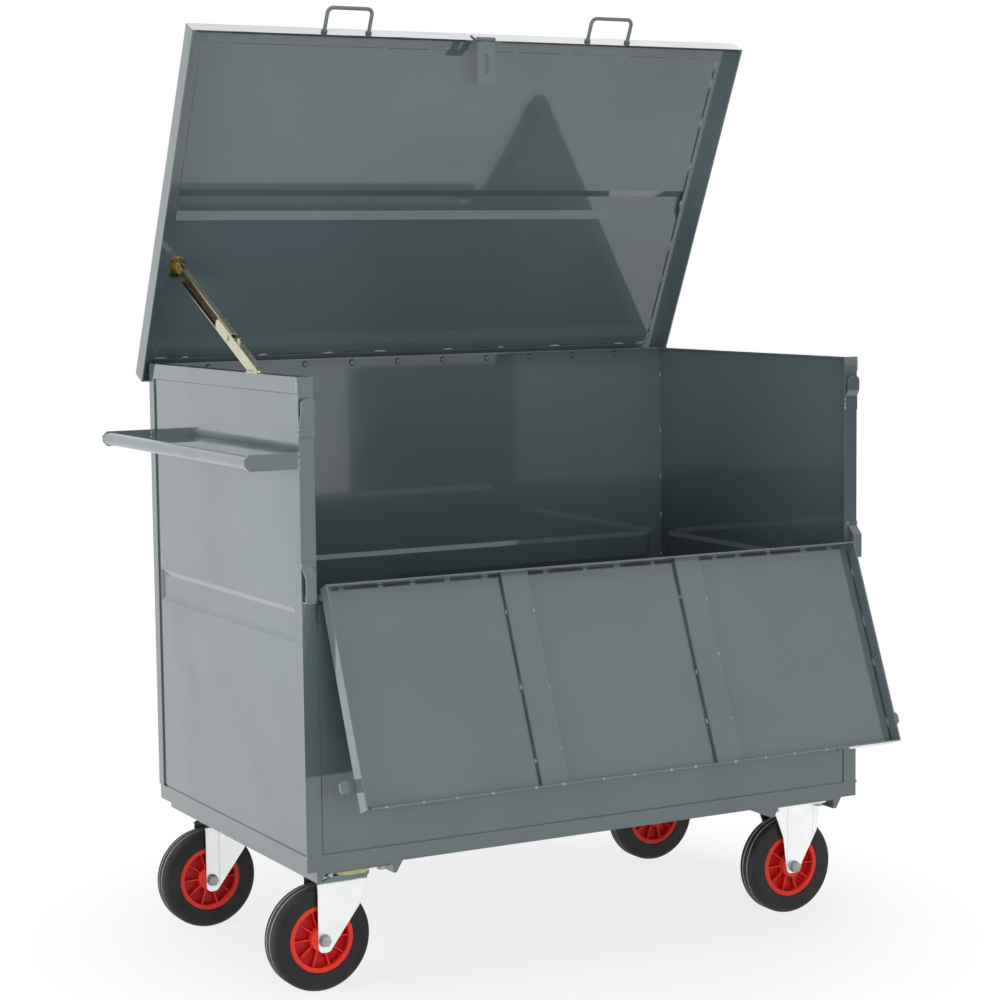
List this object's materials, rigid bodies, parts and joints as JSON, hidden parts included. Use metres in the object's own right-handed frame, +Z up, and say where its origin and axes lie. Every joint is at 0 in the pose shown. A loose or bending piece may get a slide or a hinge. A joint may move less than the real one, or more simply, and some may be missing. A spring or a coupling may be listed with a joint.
{
  "type": "security trolley",
  "caption": "Lockable steel box trolley with a stay-held hinged lid, lift-and-drop front flap, push handle, and swivel and fixed castors.",
  "frame": {"origin": "at floor level, in the middle of the whole outline as stored, with lid open and flap down", "axes": "+Z up, +X along the box away from the push handle, +Y from the flap to the hinged back"},
  "size_m": [1.36, 0.9786, 1.8479],
  "materials": {
    "enamel": "glossy blue-grey enamel",
    "bright_zinc": "bright zinc plate",
    "yellow_zinc": "yellow-passivated zinc",
    "black_tyre": "matt black rubber",
    "red_centre": "moulded red plastic",
    "bearing_steel": "ground steel"
  },
  "bodies": {
    "box": {"base_rails": "enamel", "castor_channels": "enamel", "floor_plate": "enamel", "front_posts": "enamel", "rear_posts": "enamel", "side_panel_left": "enamel", "side_panel_right": "enamel", "back_panel": "enamel", "front_panel": "enamel", "front_sill": "enamel", "top_rims": "enamel", "pivot_straps": "enamel", "flap_catches": "enamel", "handle_arms": "enamel", "handle_bar": "enamel", "hinge_box_leaf": "enamel", "hinge_pin": "bright_zinc", "hinge_rivets": "bright_zinc", "stay_wall_bracket": "yellow_zinc", "castor_bolts": "bright_zinc", "swivel_plates": "bright_zinc", "swivel_races": "yellow_zinc", "kingpins": "bright_zinc", "fixed_forks": "bright_zinc", "fixed_axles": "bright_zinc"},
    "lid": {"lid_sheet": "enamel", "lid_frame": "enamel", "lid_handles": "enamel", "hinge_lid_leaf": "enamel", "stay_lid_bracket": "yellow_zinc", "hasp_mount": "enamel"},
    "hasp": {"hasp_strap": "enamel"},
    "stay_upper": {"stay_upper_arm": "yellow_zinc", "stay_rivet": "yellow_zinc"},
    "stay_lower": {"stay_lower_arm": "yellow_zinc"},
    "flap_carrier": {"flap_pins": "bright_zinc", "r_clips": "bright_zinc"},
    "flap": {"flap_sheet": "enamel", "flap_frame": "enamel", "flap_stiffeners": "enamel", "flap_tabs": "enamel", "flap_handles": "enamel", "flap_staple": "enamel"},
    "swivel_front": {"swivel_fork_front": "bright_zinc", "swivel_axle_front": "bright_zinc"},
    "swivel_rear": {"swivel_fork_rear": "bright_zinc", "swivel_axle_rear": "bright_zinc"},
    "wheel_front_left": {"tyre_front_left": "black_tyre", "wheel_centre_front_left": "red_centre", "wheel_bearing_front_left": "bearing_steel"},
    "wheel_rear_left": {"tyre_rear_left": "black_tyre", "wheel_centre_rear_left": "red_centre", "wheel_bearing_rear_left": "bearing_steel"},
    "wheel_front_right": {"tyre_front_right": "black_tyre", "wheel_centre_front_right": "red_centre", "wheel_bearing_front_right": "bearing_steel"},
    "wheel_rear_right": {"tyre_rear_right": "black_tyre", "wheel_centre_rear_right": "red_centre", "wheel_bearing_rear_right": "bearing_steel"}
  },
  "joints": [
    {"name": "lid_hinge", "type": "hinge", "parent": "box", "child": "lid", "pos_m": [0.046, 0.44826, 1.105], "axis": [-1, 0, 0], "range_deg": [-64.5, 0]},
    {"name": "hasp_hinge", "type": "hinge", "parent": "lid", "child": "hasp", "pos_m": [0.046, 0.12241, 1.79327], "axis": [1, 0, 0], "range_deg": [-150, 20]},
    {"name": "stay_top", "type": "hinge", "parent": "lid", "child": "stay_upper", "pos_m": [-0.534, 0.36638, 1.3324], "axis": [1, 0, 0], "range_deg": [-56.24, 0]},
    {"name": "stay_knee", "type": "hinge", "parent": "stay_upper", "child": "stay_lower", "pos_m": [-0.534, 0.10468, 1.2028], "axis": [1, 0, 0], "range_deg": [-120.57, 0]},
    {"name": "flap_lift", "type": "slide", "parent": "box", "child": "flap_carrier", "axis": [0, 0, 1], "range_m": [0, 0.032]},
    {"name": "flap_hinge", "type": "hinge", "parent": "flap_carrier", "child": "flap", "pos_m": [0.046, -0.30674, 0.7435], "axis": [1, 0, 0], "range_deg": [-158, 0]},
    {"name": "swivel_front_turn", "type": "hinge", "parent": "box", "child": "swivel_front", "pos_m": [-0.47, -0.24174, 0.2187], "axis": [0, 0, 1], "continuous": true},
    {"name": "swivel_rear_turn", "type": "hinge", "parent": "box", "child": "swivel_rear", "pos_m": [-0.481, 0.27926, 0.2187], "axis": [0, 0, 1], "continuous": true},
    {"name": "wheel_front_left_spin", "type": "hinge", "parent": "swivel_front", "child": "wheel_front_left", "pos_m": [-0.531, -0.24174, 0.1], "axis": [0, 1, 0], "continuous": true},
    {"name": "wheel_rear_left_spin", "type": "hinge", "parent": "swivel_rear", "child": "wheel_rear_left", "pos_m": [-0.542, 0.27926, 0.1], "axis": [0, 1, 0], "continuous": true},
    {"name": "wheel_front_right_spin", "type": "hinge", "parent": "box", "child": "wheel_front_right", "pos_m": [0.528, -0.24174, 0.1], "axis": [0, 1, 0], "continuous": true},
    {"name": "wheel_rear_right_spin", "type": "hinge", "parent": "box", "child": "wheel_rear_right", "pos_m": [0.528, 0.27926, 0.1], "axis": [0, 1, 0], "continuous": true}
  ],
  "couplings": [
    {"joint": "stay_top", "follows": "lid_hinge", "ratio": 0.87183},
    {"joint": "stay_knee", "follows": "lid_hinge", "ratio": 1.8691}
  ]
}
